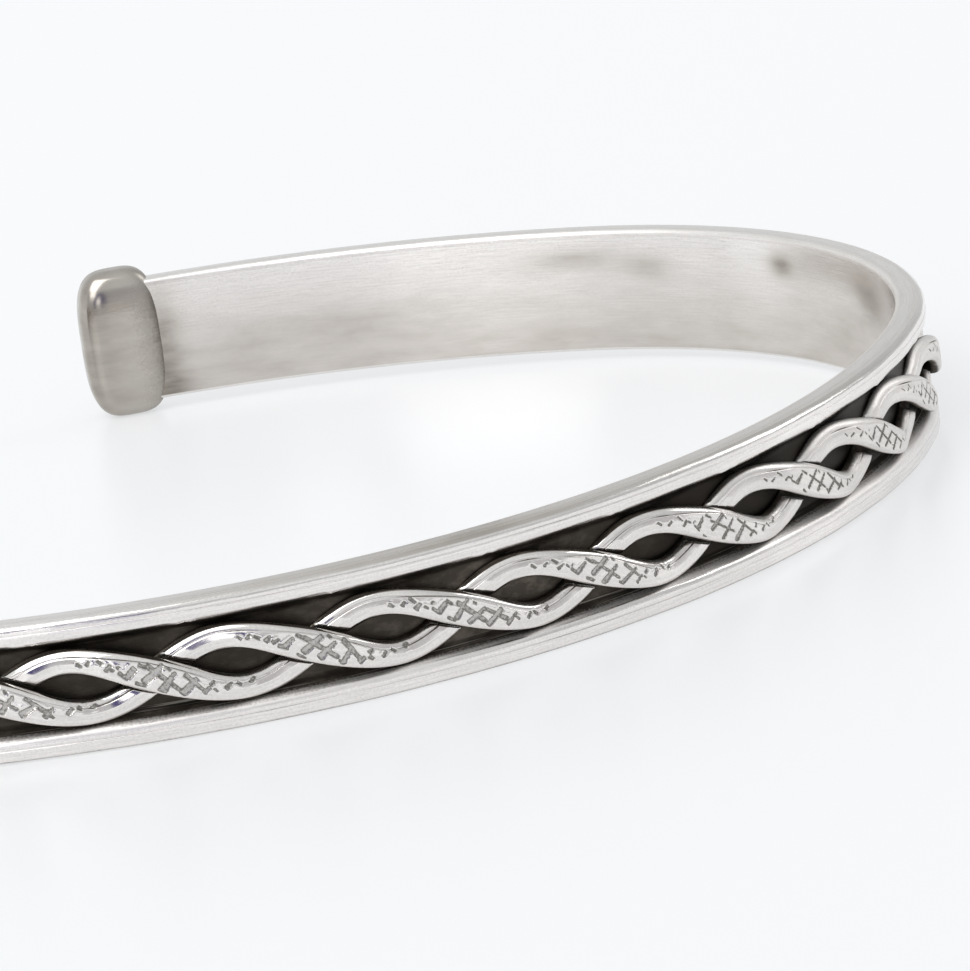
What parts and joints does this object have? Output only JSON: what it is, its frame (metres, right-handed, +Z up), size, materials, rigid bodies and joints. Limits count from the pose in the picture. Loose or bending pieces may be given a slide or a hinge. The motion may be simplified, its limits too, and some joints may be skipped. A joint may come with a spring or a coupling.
{
  "type": "open cuff bangle",
  "caption": "Open oval cuff bangle: channelled band with raised rims, a flattened wire twist with stamped hatching in the dark channel, and thick rounded end caps.",
  "frame": {"origin": "centre of the bounding box in plan, on the surface that the cuff lies on", "axes": "+Z up along the wrist that goes through the cuff, +Y towards the gap between the two end caps, and X across the cuff's width. Lying on its side it tilts 0.63 degrees about X, because the caps are taller than the band"},
  "size_m": [0.0624, 0.0516, 0.0064],
  "materials": {
    "polished_silver": "polished silver with fine handling scratches, and a brown-black oxidised channel between the rims",
    "stamped_silver": "burnished silver wire, its stamped hatching and edges darkened with oxide"
  },
  "bodies": {
    "root": {"cuff_band": "polished_silver", "braid_strand_a": "stamped_silver", "braid_strand_b": "stamped_silver"}
  },
  "joints": []
}
